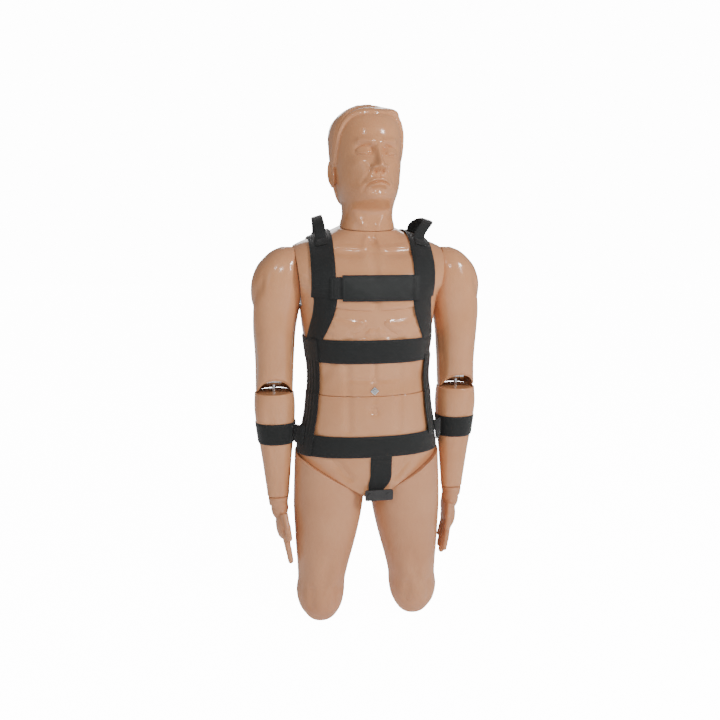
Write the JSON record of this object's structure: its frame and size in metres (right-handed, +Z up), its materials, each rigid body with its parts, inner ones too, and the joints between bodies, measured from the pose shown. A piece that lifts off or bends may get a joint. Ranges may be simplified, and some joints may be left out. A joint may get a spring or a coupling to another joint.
{
  "type": "body opponent mannequin",
  "caption": "Jointed display mannequin of an adult man without lower legs, in a black webbing harness with lift loops, cuffs and a crotch strap.",
  "frame": {"origin": "middle of the base of the object's box, at the rounded ends of the thighs", "axes": "+Z up along the body, +X to the mannequin's left, and it faces -Y"},
  "size_m": [0.5614, 0.2655, 1.2728],
  "materials": {
    "skin_gloss": "glossy moulded skin-tone shell",
    "skin_satin": "satin moulded skin-tone shell",
    "black_plastic": "dark moulded plastic",
    "chrome_steel": "bright plated elbow hardware",
    "zinc_steel": "zinc plated fittings",
    "webbing": "black woven webbing"
  },
  "bodies": {
    "torso": {"torso_shell": "skin_gloss", "pelvis_shell": "skin_gloss", "neck_plate": "zinc_steel", "shoulder_plate_L": "zinc_steel", "shoulder_plate_R": "zinc_steel", "waist_collar": "black_plastic", "waist_screws": "zinc_steel", "waist_washers": "zinc_steel", "hip_bolt_L": "zinc_steel", "hip_bolt_R": "zinc_steel", "shoulder_strap_L": "webbing", "shoulder_strap_R": "webbing", "lift_loop_L": "webbing", "lift_loop_R": "webbing", "chest_strap": "webbing", "chest_panel": "webbing", "under_arm_strap_L": "webbing", "under_arm_strap_R": "webbing", "mid_strap": "webbing", "mid_strap_tab": "webbing", "side_strap_L": "webbing", "side_strap_R": "webbing", "waist_strap": "webbing", "waist_strap_tab": "webbing", "crotch_strap_front": "webbing", "crotch_strap_rear": "webbing", "crotch_buckle": "black_plastic", "buckle_rivets": "zinc_steel", "cuff_tie_L": "webbing", "cuff_tie_R": "webbing"},
    "head": {"head_shell": "skin_gloss", "neck_stud": "zinc_steel"},
    "upper_arm_L": {"upper_arm_L": "skin_gloss", "arm_plate_L": "zinc_steel", "shoulder_stud_L": "zinc_steel", "elbow_clevis_L": "chrome_steel", "elbow_pin_L": "chrome_steel"},
    "forearm_L": {"forearm_L": "skin_gloss", "forearm_plug_L": "skin_satin", "elbow_eye_L": "chrome_steel", "cuff_L": "webbing"},
    "hand_L": {"hand_L": "skin_satin", "wrist_stud_L": "zinc_steel"},
    "thigh_L": {"thigh_L": "skin_satin", "thigh_plate_L": "zinc_steel"},
    "upper_arm_R": {"upper_arm_R": "skin_gloss", "arm_plate_R": "zinc_steel", "shoulder_stud_R": "zinc_steel", "elbow_clevis_R": "chrome_steel", "elbow_pin_R": "chrome_steel"},
    "forearm_R": {"forearm_R": "skin_gloss", "forearm_plug_R": "skin_satin", "elbow_eye_R": "chrome_steel", "cuff_R": "webbing"},
    "hand_R": {"hand_R": "skin_satin", "wrist_stud_R": "zinc_steel"},
    "thigh_R": {"thigh_R": "skin_satin", "thigh_plate_R": "zinc_steel"}
  },
  "joints": [
    {"name": "neck_turn", "type": "hinge", "parent": "torso", "child": "head", "pos_m": [0, 0.005, 0.997], "axis": [0, -0.1961, 0.9806], "range_deg": [-50, 50]},
    {"name": "shoulder_swing_L", "type": "hinge", "parent": "torso", "child": "upper_arm_L", "pos_m": [0.174, 0, 0.905], "axis": [-0.9925, 0, 0.1219], "range_deg": [-30, 120]},
    {"name": "elbow_bend_L", "type": "hinge", "parent": "upper_arm_L", "child": "forearm_L", "pos_m": [0.23, 0, 0.626], "axis": [-1, 0, 0], "range_deg": [0, 45]},
    {"name": "wrist_turn_L", "type": "hinge", "parent": "forearm_L", "child": "hand_L", "pos_m": [0.224, 0, 0.335], "axis": [0, 0, 1], "range_deg": [-10, 60]},
    {"name": "hip_turn_L", "type": "hinge", "parent": "torso", "child": "thigh_L", "pos_m": [0.092, 0.008, 0.3938], "axis": [-0.5208, 0, 0.8537], "range_deg": [-15, 15]},
    {"name": "shoulder_swing_R", "type": "hinge", "parent": "torso", "child": "upper_arm_R", "pos_m": [-0.174, 0, 0.905], "axis": [-0.9925, 0, -0.1219], "range_deg": [-30, 120]},
    {"name": "elbow_bend_R", "type": "hinge", "parent": "upper_arm_R", "child": "forearm_R", "pos_m": [-0.23, 0, 0.626], "axis": [-1, 0, 0], "range_deg": [0, 45]},
    {"name": "wrist_turn_R", "type": "hinge", "parent": "forearm_R", "child": "hand_R", "pos_m": [-0.224, 0, 0.335], "axis": [0, 0, -1], "range_deg": [-10, 60]},
    {"name": "hip_turn_R", "type": "hinge", "parent": "torso", "child": "thigh_R", "pos_m": [-0.092, 0.008, 0.3938], "axis": [0.5208, 0, 0.8537], "range_deg": [-15, 15]}
  ]
}
